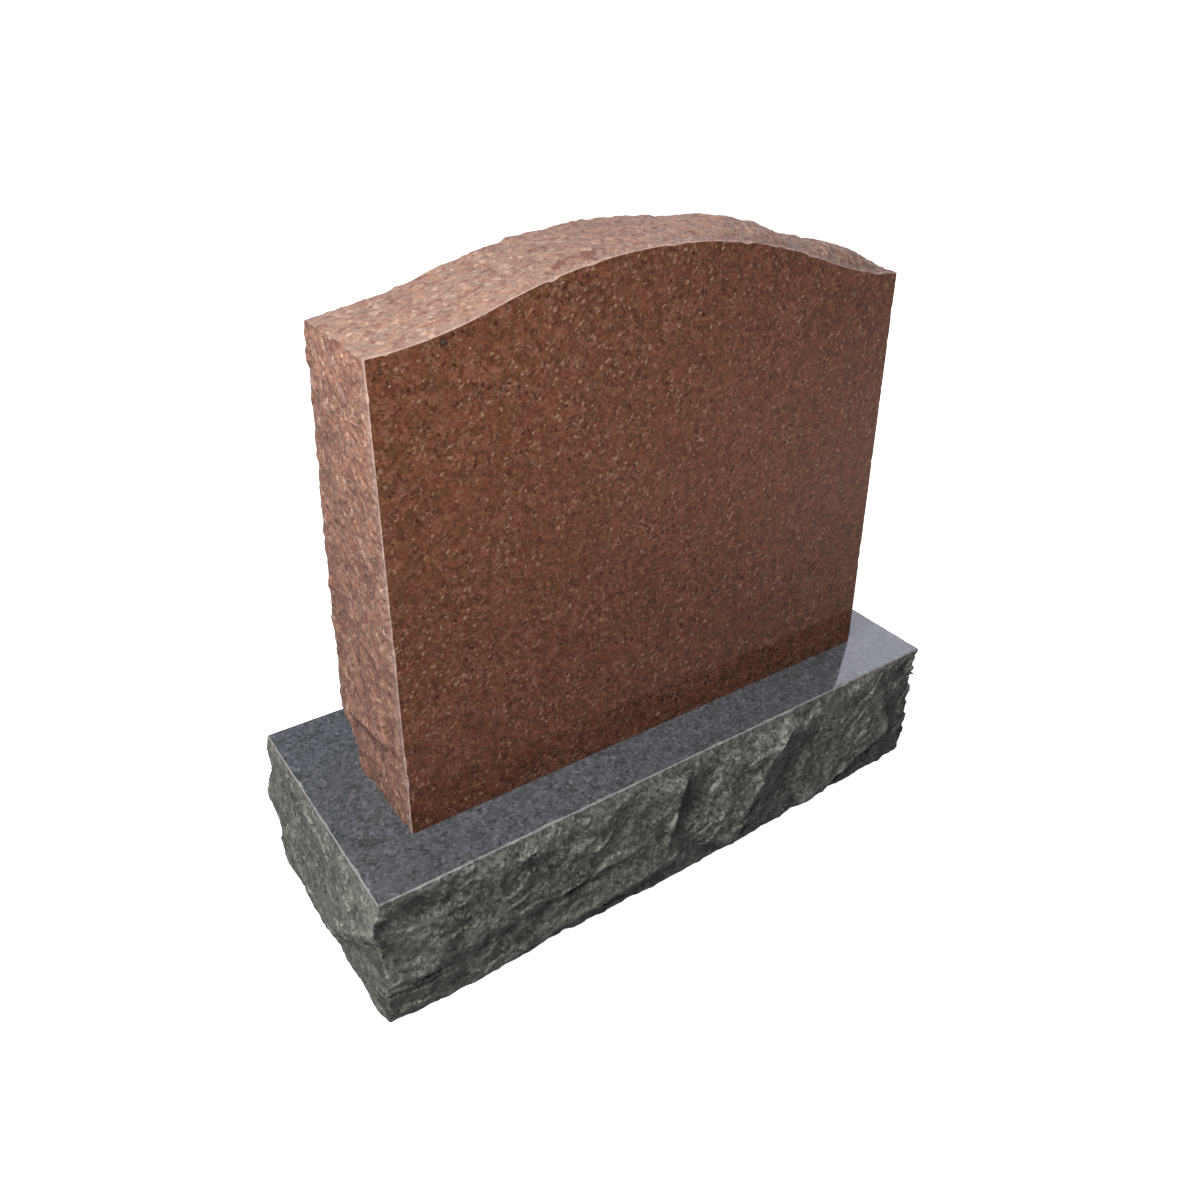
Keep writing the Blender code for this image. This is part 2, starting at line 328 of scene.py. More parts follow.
def make_floor():
    """A round floor with a wall about it, and the dimmer floor that polished stone mirrors."""
    turns = [2 * pi * i / FLOOR_SIDES for i in range(FLOOR_SIDES)]
    low = [(FLOOR_REACH * cos(turn), FLOOR_REACH * sin(turn), 0.0) for turn in turns]
    high = [(x, y, WALL_HEIGHT) for x, y, _ in low]
    disc = [tuple(range(FLOOR_SIDES))]
    floor = stage_sheet("floor", low, disc, glowing("floor paper", PAPER_COLOUR)[0])
    unseen(floor, "diffuse", "glossy")
    mirrored = stage_sheet("mirrored_floor", low, disc, mirrored_paper())
    unseen(mirrored, "camera", "diffuse", "shadow")
    ahead = disc[0][1:] + disc[0][:1]
    panels = [(i, j, FLOOR_SIDES + j, FLOOR_SIDES + i) for i, j in zip(disc[0], ahead)]
    wall = stage_sheet("wall", low + high, panels, glowing("wall paper", PAPER_COLOUR)[0])
    unseen(wall, "diffuse", "glossy", "shadow")


make_floor()

# %% [markdown]
# ## Reading the outlines from the solids
#
# Nothing here may drift from the solids, so the outlines come from them. The base's polished top gives
# four corners. The tablet's front gives its two feet, its two shoulders and the curve between them,
# and its lean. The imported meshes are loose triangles, so we merge a copy before we read its points.

# %% Outlines of the polished faces
HAIR = 0.00002
CLEAR_OF_FOOT = 0.25


def merged_points(node):
    """The places of a node's vertices, with doubles merged."""
    copy = bmesh.new()
    copy.from_mesh(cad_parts[node].data)
    bmesh.ops.remove_doubles(copy, verts=copy.verts, dist=HAIR)
    points = np.array([v.co for v in copy.verts])
    copy.free()
    return points


BASE_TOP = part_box("base")[1].z
BASE_CORNER = np.abs([p for p in merged_points("base") if p[2] > BASE_TOP - HAIR]).max(0)[:2]
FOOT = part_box("tablet")[0].z
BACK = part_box("tablet")[1].y
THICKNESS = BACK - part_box("tablet")[0].y


def front_of_tablet():
    """The points on the leaning front, as places across and above the foot, and how much it leans."""
    points = merged_points("tablet")
    height = points[:, 2] - FOOT
    high = height > height.max() * CLEAR_OF_FOOT
    lean = ((points[high, 1] + THICKNESS - BACK) / height[high]).min()
    on = np.abs(points[:, 1] + THICKNESS - BACK - lean * height) < HAIR
    return np.stack([points[on, 0], height[on]], axis=1), lean


FRONT, LEAN = front_of_tablet()
HALF_WIDTH = FRONT[:, 0].max()
SHOULDER = FRONT[FRONT[:, 0] > HALF_WIDTH - HAIR, 1].max()
CURVE = FRONT[FRONT[:, 1] > SHOULDER - HAIR]
CURVE = CURVE[np.argsort(CURVE[:, 0])]
print("base top", 2 * BASE_CORNER, "tablet", 2 * HALF_WIDTH, "by", SHOULDER)
print("curve of", len(CURVE), "points, lean of", LEAN)

# %% [markdown]
# ## The rule of a broken side
#
# A mason pitches the sides: each blow sends a flake off, and leaves a shallow bowl. Between the bowls
# the stone stands out past the arris, and here and there it breaks in a step, a ledge. The solid was
# made by this same rule on a coarse grid: a swell, minus bowls, plus ledges, all faded out at the
# arris. Run again with the same seeds on a grid seven times finer, it gives the same forms, but with
# crisp ledges. Every place is a share of the side's length and drop, so it follows the stone's size.
#
# A ledge is written as its start and its end (along and down), its height, and how far it rises and
# falls. A bowl is its middle (along and down), half length, half width, depth and turn in degrees. A
# bowl of negative depth is a mound.

# %% Swell, bowls and ledges
EDGE_RUN = 0.030
CORNER_RUN = 0.060
FAR_SHARE = 0.50
CORNER_SHARE = 0.35
LEDGE_TAPER = 0.15
BOWL_HALF = (0.016, 0.040)
BOWL_SLIMNESS = (0.45, 0.85)
BOWL_DEPTH = 0.09
BOWLS_PER_AREA = 900


def bowl(along, down, spot):
    """Depth of a bowl at places on a side: nought at its rim, and less outside it."""
    place, below, half_length, half_width, depth, turn = spot
    c, s = cos(radians(turn)), sin(radians(turn))
    u = ((along - place) * c + (down - below) * s) / half_length
    v = ((down - below) * c - (along - place) * s) / half_width
    return abs(depth) * (1.0 - u * u - v * v)


def ledge(along, down, line):
    """Height of a step that rises to a line and drops behind it."""
    start, end, height, rise, fall = line
    way = np.subtract(end, start)
    length = np.hypot(*way)
    way = way / length
    a, d = along - start[0], down - start[1]
    past = a * way[1] - d * way[0]
    flank = np.where(past < 0, np.clip(1 + past / rise, 0, 1), np.clip(1 - past / fall, 0, 1) ** 1.5)
    on = (a * way[0] + d * way[1]) / length
    ends = np.clip(np.minimum(on, 1 - on) / LEDGE_TAPER + 1, 0, 1)
    return height * flank * ends * ends * (3 - 2 * ends)


class BrokenSide:
    """One broken side: its length, its drop from the arris, and what the blows left."""

    def __init__(self, length, drop, swell, seed, ledges=(), bowls=(), shallow=1.0):
        self.length, self.drop, self.swell = length, drop, swell
        self.ledges = [((a0 * length, d0 * drop), (a1 * length, d1 * drop), *(size * drop for size in sizes))
                       for a0, d0, a1, d1, *sizes in ledges]
        self.bowls = [(a * length, d * drop, hl * drop, hw * drop, depth * drop, turn)
                      for a, d, hl, hw, depth, turn in bowls]
        draw = random.Random(seed)
        self.small = []
        for _ in range(round(length * drop * BOWLS_PER_AREA)):
            half = draw.uniform(*BOWL_HALF)
            slim = draw.uniform(*BOWL_SLIMNESS)
            depth = half * BOWL_DEPTH * draw.uniform(0.5, 1.0) * shallow
            self.small.append((draw.uniform(0, length), draw.uniform(0, drop), half, half * slim, depth,
                               draw.uniform(0, 180)))

    def relief(self, along, down):
        """How far the side stands out of the flat."""
        far = np.clip(2 - 2 * down / self.drop, 0, 1)
        end = np.clip(np.minimum(along, self.length - along) / CORNER_RUN, 0, 1)
        out = self.swell * (FAR_SHARE + (1 - FAR_SHARE) * far * (2 - far))
        out = out * (CORNER_SHARE + (1 - CORNER_SHARE) * end * (2 - end))
        for spot in self.bowls:
            out = out - np.sign(spot[4]) * np.maximum(bowl(along, down, spot), 0)
        out = out + np.max([ledge(along, down, line) for line in self.ledges] + [0 * along], axis=0)
        out = out - np.max([bowl(along, down, spot) for spot in self.small] + [0 * along], axis=0)
        near = np.clip(down / EDGE_RUN, 0, 1)
        return near * (2 - near) * out


# %% [markdown]
# ## Rows round a stone
#
# A side hangs from one stretch of the polished outline. At each depth below the arris we move that
# stretch outwards by its relief. Where two sides meet, the points also slide along, so that the corner
# stays one edge. The rows go down to the underside of the base, or back to the sawn back of the tablet.

# %% Stretches and rows
PITCH = 0.00186


def length_along(points):
    """How far along a line of points each of them lies."""
    return np.concatenate([[0], np.cumsum(np.hypot(*np.diff(points, axis=0).T))])


class Stretch:
    """One stretch of a polished outline, as points in its plane, with the side that hangs from it."""

    def __init__(self, points, outward, *side, **more):
        self.along = length_along(points)
        self.points, self.outward = points, outward
        self.side = BrokenSide(self.along[-1], *side, **more)
        quarter = np.stack([outward[:, 1], -outward[:, 0]], axis=1)
        self.forward = quarter * np.sign(quarter @ (points[-1] - points[0]))[:, None]

    def at(self, down, before, after):
        """This stretch at a depth, moved out by its relief and slid to meet its neighbours."""
        out = self.side.relief(self.along, down)
        slide = np.zeros(len(out))
        if before:
            near = np.clip(1 - self.along / CORNER_RUN, 0, 1)
            slide -= before.side.relief(before.along[-1:], down) * near
        if after:
            near = np.clip(1 - (self.along[-1] - self.along) / CORNER_RUN, 0, 1)
            slide += after.side.relief(after.along[:1], down) * near
        return self.points + self.forward * slide[:, None] + self.outward * out[:, None], out


def straight(start, end, outward, *side, **more):
    count = round(np.hypot(*np.subtract(end, start)) / PITCH)
    share = np.linspace(0, 1, count + 1)[:, None]
    points = np.asarray(start) * (1 - share) + np.asarray(end) * share
    return Stretch(points, np.tile(np.asarray(outward, float), (count + 1, 1)), *side, **more)


def rows_round(stretches, drop, all_round):
    """Every row from the arris to the far edge: places, how far each stands out, and depths."""
    depths = np.linspace(0, drop, round(drop / PITCH) + 1)
    rows, outs = [], []
    for down in depths:
        row, out = [], []
        for i, stretch in enumerate(stretches):
            before = stretches[i - 1] if all_round or i else None
            after = stretches[(i + 1) % len(stretches)] if all_round or i + 1 < len(stretches) else None
            places, relief = stretch.at(down, before, after)
            last = None if after is None else -1
            row.append(places[:last])
            out.append(relief[:last])
        rows.append(np.concatenate(row))
        outs.append(np.concatenate(out))
    return np.array(rows), np.array(outs), depths


def mitre(stretches, all_round):
    """The outward way of every point of the outline. At a corner it serves both sides at once."""
    ways = []
    for i, stretch in enumerate(stretches):
        way = stretch.outward.copy()
        if all_round or i:
            other = stretches[i - 1].outward[-1]
            way[0] = (way[0] + other) / (1 + way[0] @ other)
        ways.append(way[:-1] if all_round or i + 1 < len(stretches) else way)
    return np.concatenate(ways)


def corner_columns(stretches, all_round):
    """The columns at which one side meets the next."""
    ends = np.cumsum([len(stretch.points) - 1 for stretch in stretches])
    return ends % ends[-1] if all_round else ends[:-1]


# %% [markdown]
# ## The stone as a mesh
#
# The rows become a mesh of small quads, closed by flat caps. The arris of a real stone is never quite
# sharp: before the first row comes a narrow chamfer, which opens into chips here and there. Chips are
# struck out of the far edge as well. Each point also stores what the later steps need: its outward way,
# its distances from the arris, the far edge and a corner, how bruised it is, and its crest, which is how
# far it stands above the side round about it.

# %% Mesh of a stone
ARRIS_WIDTH = 0.0005
CHIPS_PER_METRE = 34
CHIP_HALF = (0.002, 0.013)
CHIP_DEPTH = (0.0006, 0.0022)
FAR_CHIPS = (0.6, 0.3, 0.1)
CREST_REACH = 0.016
CREST_SCALE = 0.0016
POLISHED, BROKEN, SAWN = 0.0, 1.0, 2.0


def softened(field, steps, all_round):
    """A field averaged over its neighbours, along the rows and across them."""
    for axis, mode in ((0, "edge"), (1, "wrap" if all_round else "edge")):
        pad = [(0, 0), (0, 0)]
        pad[axis] = (steps + 1, steps)
        total = np.cumsum(np.pad(field, pad, mode=mode), axis=axis)
        ahead = np.take(total, range(2 * steps + 1, total.shape[axis]), axis)
        behind = np.take(total, range(0, total.shape[axis] - 2 * steps - 1), axis)
        field = (ahead - behind) / (2 * steps + 1)
    return field


def bruised(rows, spots):
    """How strongly each point of the front is bruised: one in the middle of a spot, nought at its rim."""
    share = np.zeros(rows.shape[:2])
    for x, below, half_length, half_width, turn in spots:
        spot = (x, below, half_length, half_width, 1.0, turn)
        share = np.maximum(share, bowl(rows[:, :, 0], BASE_TOP - rows[:, :, 2], spot))
    return np.where(rows[:, :, 1] < 0, share, 0)


def store(mesh, name, values, kind="FLOAT", domain="POINT"):
    field = mesh.attributes.new(name, kind, domain)
    flat = np.ravel(values).astype(np.float32)
    field.data.foreach_set("vector" if kind == "FLOAT_VECTOR" else "value", flat)


def away_from(place, columns, all_round):
    """How many columns each column lies from a place on the outline."""
    away = np.abs(np.arange(columns) - place)
    return np.minimum(away, columns - away) if all_round else away


def chip_depths(columns, all_round, seed, placed=()):
    """Depth of the worn edge at each column: a hair everywhere, with random and placed chips."""
    draw = random.Random(seed)
    chips = [(draw.uniform(0, columns) * PITCH, draw.uniform(*CHIP_HALF),
              draw.uniform(0, 1) ** 2 * (CHIP_DEPTH[1] - CHIP_DEPTH[0]) + CHIP_DEPTH[0])
             for _ in range(round(columns * PITCH * CHIPS_PER_METRE))]
    depths = np.full(columns, ARRIS_WIDTH)
    for along, half, depth in chips + list(placed):
        away = away_from(along / PITCH, columns, all_round) * PITCH / half
        depths = np.maximum(depths, depth * (1 - away * away))
    return depths[:, None]


def worn_rows(rows, ways, all_round, seed, chips):
    """The rows with a chipped chamfer before the first of them, and chips out of the last ones."""
    columns = rows.shape[1]
    down = rows[1] - rows[0]
    down = down / np.linalg.norm(down, axis=1, keepdims=True)
    worn = chip_depths(columns, all_round, seed, chips)
    inset = rows[0] - ways[0] * worn
    far = chip_depths(columns, all_round, seed + 1)
    for back, share in enumerate(FAR_CHIPS):
        rows[-1 - back] -= ways[-1 - back] * far * share
    rows = np.concatenate([inset[None], rows])
    rows[1] += down * worn
    return rows


def faces_of(rows, all_round):
    """Quads between the rows, flat caps that close them, and the finish of each face."""
    number = np.arange(rows.shape[0] * rows.shape[1]).reshape(rows.shape[:2])
    ahead = np.roll(number, -1, axis=1)
    quads = np.stack([number[:-1], ahead[:-1], ahead[1:], number[1:]], axis=-1)
    if not all_round:
        quads = quads[:, :-1]
    faces = quads.reshape(-1, 4).tolist()
    finish = [BROKEN] * len(faces) + [POLISHED, SAWN]
    faces += [number[0].tolist(), number[-1].tolist()]
    if not all_round:
        faces.append(number[:, 0].tolist() + number[::-1, -1].tolist())
        finish.append(SAWN)
    return faces, finish


def stone_mesh(name, rows, ways, outs, depths, all_round, corners, seed, chips=(), bruises=()):
    """A closed mesh from rows of places in space, with what each point needs to know."""
    crest = (outs - softened(outs, round(CREST_REACH / PITCH), all_round)) / CREST_SCALE
    rows = worn_rows(rows, ways, all_round, seed, chips)
    depths = np.concatenate([[0], depths])
    count, columns = rows.shape[:2]
    corner = np.min([away_from(place, columns, all_round) for place in corners], axis=0) * PITCH
    faces, finish = faces_of(rows, all_round)
    mesh = bpy.data.meshes.new(name)
    mesh.from_pydata(rows.reshape(-1, 3).tolist(), [], faces)
    store(mesh, "outward", np.concatenate([ways[:1], ways]), kind="FLOAT_VECTOR")
    store(mesh, "from_arris", np.repeat(depths, columns))
    store(mesh, "from_far", np.repeat(depths[-1] - depths, columns))
    store(mesh, "from_corner", np.tile(corner, count))
    store(mesh, "crest", np.concatenate([crest[:1], crest]))
    store(mesh, "bruise", bruised(rows, bruises))
    store(mesh, "finish", finish, domain="FACE")
    closed = bmesh.new()
    closed.from_mesh(mesh)
    bmesh.ops.recalc_face_normals(closed, faces=closed.faces)
    closed.to_mesh(mesh)
    closed.free()
    print(name, count, "rows of", columns, "points,", len(faces), "faces")
    return mesh


# %% [markdown]
# ## The base
#
# Four straight stretches run round the polished top: the front, the right end, the back and the left
# end, each with its swell and its seed. The front has the boldest break: a long ridge that falls away to
# the right, and lesser ones that run down to the underside. Two larger chips of the arris are given
# (how far along, half width, depth), and so are five bruises of the front (across, below the arris,
# half length, half width, turn).

# %% Base
BASE_FRONT_LEDGES = (
    (0.675, 0.06, 0.565, 0.82, 0.085, 0.50, 0.34),
    (0.930, 0.62, 0.750, 0.92, 0.060, 0.55, 0.14),
    (0.470, 0.16, 0.440, 0.74, 0.040, 0.36, 0.08),
    (0.440, 0.76, 0.150, 0.94, 0.045, 0.34, 0.14),
    (0.370, 0.52, -0.02, 0.64, 0.032, 0.30, 0.18),
)
BASE_FRONT_BOWLS = (
    (0.065, 0.15, 0.32, 0.13, 0.030, 0),
    (0.580, 1.02, 1.50, 0.70, -0.030, 0),
    (0.960, 1.00, 0.60, 0.40, -0.015, 0),
    (0.940, 0.12, 0.25, 0.14, 0.030, 0),
)
BASE_LEFT_LEDGES = (
    (0.560, 0.84, -0.05, 0.48, 0.045, 0.44, 0.12),
    (1.020, 0.20, 0.560, 0.84, 0.045, 0.44, 0.12),
)
BASE_LEFT_BOWLS = (
    (0.300, 1.05, 0.70, 0.30, -0.020, 0),
)
BASE_RIGHT_LEDGES = (
    (0.650, 0.80, -0.05, 0.84, 0.050, 0.40, 0.14),
)
BASE_RIGHT_BOWLS = (
    (0.050, 0.14, 0.25, 0.16, 0.045, 0),
    (0.550, 0.50, 0.40, 0.20, 0.030, 15),
)
BASE_SIDES = (
    (0.0065, 21, BASE_FRONT_LEDGES, BASE_FRONT_BOWLS),
    (0.0050, 22, BASE_RIGHT_LEDGES, BASE_RIGHT_BOWLS),
    (0.0065, 23),
    (0.0050, 24, BASE_LEFT_LEDGES, BASE_LEFT_BOWLS),
)
BASE_CHIP_SEED = 31
BASE_CHIPS = [(0.586, 0.008, 0.0034), (0.175, 0.020, 0.0020)]
BASE_BRUISES = [
    (-0.145, 0.044, 0.030, 0.010, 20),
    (-0.185, 0.012, 0.016, 0.010, -20),
    (0.030, 0.052, 0.018, 0.012, -30),
    (0.170, 0.020, 0.030, 0.008, -40),
    (0.254, 0.076, 0.038, 0.015, -20),
]


def base_mesh():
    x, y = BASE_CORNER
    corners = ((-x, -y), (x, -y), (x, y), (-x, y))
    outward = ((0, -1), (1, 0), (0, 1), (-1, 0))
    stretches = [straight(start, end, way, BASE_TOP, *side)
                 for start, end, way, side in zip(corners, corners[1:] + corners[:1], outward, BASE_SIDES)]
    flat, outs, depths = rows_round(stretches, BASE_TOP, True)
    way = mitre(stretches, True)
    height = np.broadcast_to((BASE_TOP - depths)[:, None, None], (*flat.shape[:2], 1))
    rows = np.concatenate([flat, height], axis=2)
    ways = np.broadcast_to(np.pad(way, ((0, 0), (0, 1))), rows.shape)
    return stone_mesh("base_stone", rows, ways, outs, depths, True, corner_columns(stretches, True),
                      BASE_CHIP_SEED, BASE_CHIPS, BASE_BRUISES)


BASE_MESH = base_mesh()

# %% [markdown]
# ## The tablet
#
# Three stretches follow the front: the left side, the curve from shoulder to shoulder, and the right
# side. They are measured in the plane of the front. A row part of the way back lies that share of the
# way between the leaning front and the upright back.

# %% Tablet
TABLET_LEFT_LEDGES = (
    (0.155, 0.80, 0.190, 0.22, 0.034, 0.34, 0.09),
)
TABLET_LEFT_BOWLS = (
    (0.000, 1.00, 0.34, 0.22, 0.070, 0),
)
TABLET_TOP_BOWLS = (
    (0.670, 0.60, 0.85, 0.60, -0.090, 0),
    (0.885, 0.50, 0.62, 0.55, -0.120, 0),
)
TABLET_SIDE_SWELL, TABLET_TOP_SWELL = 0.0025, 0.0040
TABLET_LEFT_SEED, TABLET_TOP_SEED, TABLET_RIGHT_SEED = 11, 12, 13
SIDE_SHALLOW, TOP_SHALLOW = 0.7, 0.5
TABLET_CHIP_SEED = 41
CURVE_SMOOTHING = 0.02


def serpentine():
    """The top stretch, as close points on the curve that the solid's facets follow."""
    length = length_along(CURVE)
    fine = np.linspace(0, length[-1], round(length[-1] / PITCH) + 1)
    points = np.stack([np.interp(fine, length, CURVE[:, i]) for i in (0, 1)], axis=1)
    slope = np.gradient(points, axis=0)
    reach = round(CURVE_SMOOTHING / PITCH)
    slope = np.pad(slope, ((reach, reach), (0, 0)), mode="edge")
    slope = np.stack([np.convolve(part, np.ones(2 * reach + 1), "valid") for part in slope.T], axis=1)
    slope /= np.linalg.norm(slope, axis=1, keepdims=True)
    outward = np.stack([-slope[:, 1], slope[:, 0]], axis=1)
    top_drop = THICKNESS - LEAN * SHOULDER
    return Stretch(points, outward, top_drop, TABLET_TOP_SWELL, TABLET_TOP_SEED,
                   bowls=TABLET_TOP_BOWLS, shallow=TOP_SHALLOW)


def tablet_mesh():
    w = HALF_WIDTH
    stretches = [
        straight((-w, 0), (-w, SHOULDER), (-1, 0), THICKNESS, TABLET_SIDE_SWELL, TABLET_LEFT_SEED,
                 TABLET_LEFT_LEDGES, TABLET_LEFT_BOWLS, shallow=SIDE_SHALLOW),
        serpentine(),
        straight((w, SHOULDER), (w, 0), (1, 0), THICKNESS, TABLET_SIDE_SWELL, TABLET_RIGHT_SEED,
                 shallow=SIDE_SHALLOW),
    ]
    flat, outs, depths = rows_round(stretches, THICKNESS, False)
    way = mitre(stretches, False)
    share = (depths / THICKNESS)[:, None]
    front = BACK - THICKNESS + LEAN * flat[:, :, 1]
    rows = np.stack([flat[:, :, 0], front + share * (BACK - front), FOOT + flat[:, :, 1]], axis=2)
    back_lean = (1 - share) * LEAN * way[:, 1]
    ways = np.stack([np.broadcast_to(way[:, 0], outs.shape), back_lean,
                     np.broadcast_to(way[:, 1], outs.shape)], axis=2)
    return stone_mesh("tablet_stone", rows, ways, outs, depths, False, corner_columns(stretches, False),
                      TABLET_CHIP_SEED)


TABLET_MESH = tablet_mesh()

# %% [markdown]
# ## The finer break
#
# Between the mason's blows the stone breaks along its crystals: lumps as big as a thumbnail, small
# bowls with crisp rims, and single grains. Here and there it breaks in low steps, which climb the side
# one above the other and run on along the blow. This follows the surface everywhere, so we leave it to
# a Geometry Nodes tree with named sizes. It moves each point along its own outward way, and does
# nothing at the arris. The corners, which take most knocks, lose nibbles. The same tree gives each face
# its finish, and writes down how high each point rises, for the colours to use.

# %% Geometry Nodes tree for the finer break
STEP_COUNT = 5.0
STEP_STRETCH = 0.6
STEPS_PER_METRE = 26.0
FAR_CALM = 0.012
BREAK_SIZES = ("Seed", "Lump Size", "Lump Height", "Bowl Size", "Bowl Height", "Grain Size", "Grain Height",
               "Step Size", "Step Height", "Nibble Size", "Nibble Depth", "Calm Width")
BREAK_INPUTS = {"Geometry": "NodeSocketGeometry", "Step Way": "NodeSocketVector",
                **dict.fromkeys(BREAK_SIZES, "NodeSocketFloat"),
                **dict.fromkeys(("Polished", "Broken", "Sawn"), "NodeSocketMaterial")}


def drawn_out(g, place, way, share):
    """Places with their lengths along one way cut by a share, which draws a pattern out along it."""
    return g.vector("SUBTRACT", place, g.scaled(way, g.dot(place, way) * share))


def break_tree():
    tree = bpy.data.node_groups.new("finer break", "GeometryNodeTree")
    tree.interface.new_socket("Geometry", in_out="OUTPUT", socket_type="NodeSocketGeometry")
    for name, kind in BREAK_INPUTS.items():
        tree.interface.new_socket(name, in_out="INPUT", socket_type=kind)
    g = Graph(tree)
    given = g.node("NodeGroupInput")
    size = {name: given.output(name) for name in BREAK_INPUTS}

    def stored(name, kind="FLOAT"):
        return g.node("GeometryNodeInputNamedAttribute", {"data_type": kind}, {"Name": name})

    place = g.vector("ADD", g.node("GeometryNodeInputPosition"), g.scaled((1.0, 1.0, 1.0), size["Seed"]))
    wander = g.centred(g.noise(place, size["Bowl Size"], output=1))
    bent = g.vector("ADD", place, g.scaled(wander, size["Bowl Size"] * 1.1))
    lumps = (g.noise(place, size["Lump Size"], 3.0, 0.55) - 0.5) * 2.0 * size["Lump Height"]
    rim = g.cells(bent, size["Bowl Size"])
    bowls = (rim * rim - 0.25) * 2.0 * size["Bowl Height"]
    grains = (g.noise(bent, size["Grain Size"], 2.0, 0.6) - 0.5) * 2.0 * size["Grain Height"]
    climb = drawn_out(g, (0.0, 0.0, STEPS_PER_METRE), size["Step Way"], 1.0)
    run = g.noise(drawn_out(g, place, size["Step Way"], STEP_STRETCH), size["Step Size"]) * STEP_COUNT
    strong = g.noise(place, size["Step Size"], 1.0).ramp(0.40, 0.60)
    strong = strong * stored("from_far").ramp(0.0, FAR_CALM)
    steps = (g.maths("FRACT", run + g.dot(place, climb)) - 0.5) * size["Step Height"] * strong
    calm = stored("from_arris").ramp(0.0, size["Calm Width"])
    knocked = stored("from_corner").ramp(0.0, size["Nibble Size"], 1.0, 0.0) * calm
    nibble = g.noise(place, size["Nibble Size"], 3.0, 0.6).ramp(0.38, 0.62) * size["Nibble Depth"]
    shift = (lumps + bowls + grains + steps) * calm - nibble * knocked
    moved = g.node("GeometryNodeSetPosition", {}, {
        "Geometry": size["Geometry"], "Offset": g.scaled(stored("outward", "FLOAT_VECTOR"), shift)})
    height = (lumps + bowls) / (size["Lump Height"] + size["Bowl Height"])
    moved = g.node("GeometryNodeStoreNamedAttribute", {"data_type": "FLOAT", "domain": "POINT"},
                   {"Geometry": moved, "Name": "rise", "Value": stored("crest") + height * calm})
    moved = g.node("GeometryNodeSetMaterial", {}, {"Geometry": moved, "Material": size["Sawn"]})
    finish = stored("finish")
    for name, number in (("Polished", POLISHED), ("Broken", BROKEN)):
        chosen = g.maths("COMPARE", finish, number, 0.5)
        moved = g.node("GeometryNodeSetMaterial", {}, {"Geometry": moved, "Selection": chosen,
                                                       "Material": size[name]})
    g.end("NodeGroupOutput", {"Geometry": g.node("GeometryNodeRealizeInstances", {}, {0: moved})})
    return tree


BREAK = break_tree()
print("break tree of", len(BREAK.nodes), "nodes")

# %% [markdown]
# ## Granite
#
# Granite is a mass of crystals, so every colour here hangs on the place in the stone and not on the
# face. The ground is two colours that drift into each other. It is broken up into ragged crystals,
# coarse and fine, each of its own tone. Some crystals are of another mineral: light ones, dark ones and
# rare green ones, and they crowd together here and there. Fine pale lines run between some of them, and
# a knot is a single large dark spot. The finishes show the same crystals in other ways: polish makes
# the stone deep and dark, breaking leaves it pale and dusty, sawing lies between.

# %% Crystals
BLOW_WAY = (0.0, 0.90, 0.43)
FLECK_WAYS = ((0.62, 0.48, 0.62), (-0.70, 0.20, 0.69), (0.15, -0.80, 0.58))
FLECK_STRETCH = 0.3
FLECK_RAGGED = 1.6
LINE_WIDTH, LINE_GAPS = 0.042, 0.47


def crystals(g, place, size, ragged=1.3):
    """Ragged crystals about as wide as size, each with its own random numbers."""
    drift = g.centred(g.noise(place, size * 0.8, output=1))
    cell = g.cells(g.vector("ADD", place, g.scaled(drift, size * ragged)), size)
    return g.part(cell.output("Color"))


def facets(g, place, size):
    """Heights of small flats, one to a crystal, each tilted its own way."""
    cell = g.cells(place, size)
    lean = g.scaled(g.centred(cell.output("Color")), 1.0 / size)
    return g.dot(lean, g.vector("SUBTRACT", place, cell.output("Position")))


def shifted(g, place, number):
    """The same place in another part of an endless stone."""
    return g.vector("ADD", place, (number, number, number))


def fine_lines(g, place, size, width, gaps):
    """Thin curved lines that come and go: where a soft noise passes its middle value."""
    wave = g.noise(place, size, 2.0, 0.5) - 0.5
    shown = g.noise(shifted(g, place, 5.0), size * 1.3).ramp(gaps, gaps + 0.08)
    return g.maths("ABSOLUTE", wave).ramp(width, 0.0) * shown


def granite(g, look):
    """The colour of a stone at each place."""
    place = g.node("ShaderNodeTexCoord", {}, {}, "Object")
    patch = g.noise(place, look["patch"], 5.0, 0.7).ramp(0.36, 0.64)
    colour = g.mix(patch, *look["ground"])
    for size, tone in look["tones"]:
        number = crystals(g, place, size)
        colour = g.scaled(colour, number * tone + (1.0 - tone / 2))
    crowd = g.noise(place, look["patch"] * 3, 3.0, 0.6).ramp(0.3, 0.7, 0.4, 1.6)
    for i, (tint, size, share, strength) in enumerate(look["flecks"]):
        drawn = drawn_out(g, shifted(g, place, 3.0 + i), FLECK_WAYS[i % len(FLECK_WAYS)], FLECK_STRETCH)
        number = crystals(g, drawn, size, FLECK_RAGGED)
        mask = (number < crowd * share) * (number.output("Y") * 0.6 + 0.4)
        colour = g.mix(mask * strength, colour, tint)
    for tint, size, strength in look.get("streaks", ()):
        colour = g.mix(fine_lines(g, place, size, LINE_WIDTH, LINE_GAPS) * strength, colour, tint)
    for spot, reach, tint, strength in look.get("knots", ()):
        uneven = g.noise(place, reach, 3.0, 0.7) * reach
        near = (g.vector("DISTANCE", place, spot, "Value") + uneven).ramp(reach * 1.3, reach * 0.9)
        colour = g.mix(near * strength, colour, tint)
    return place, colour
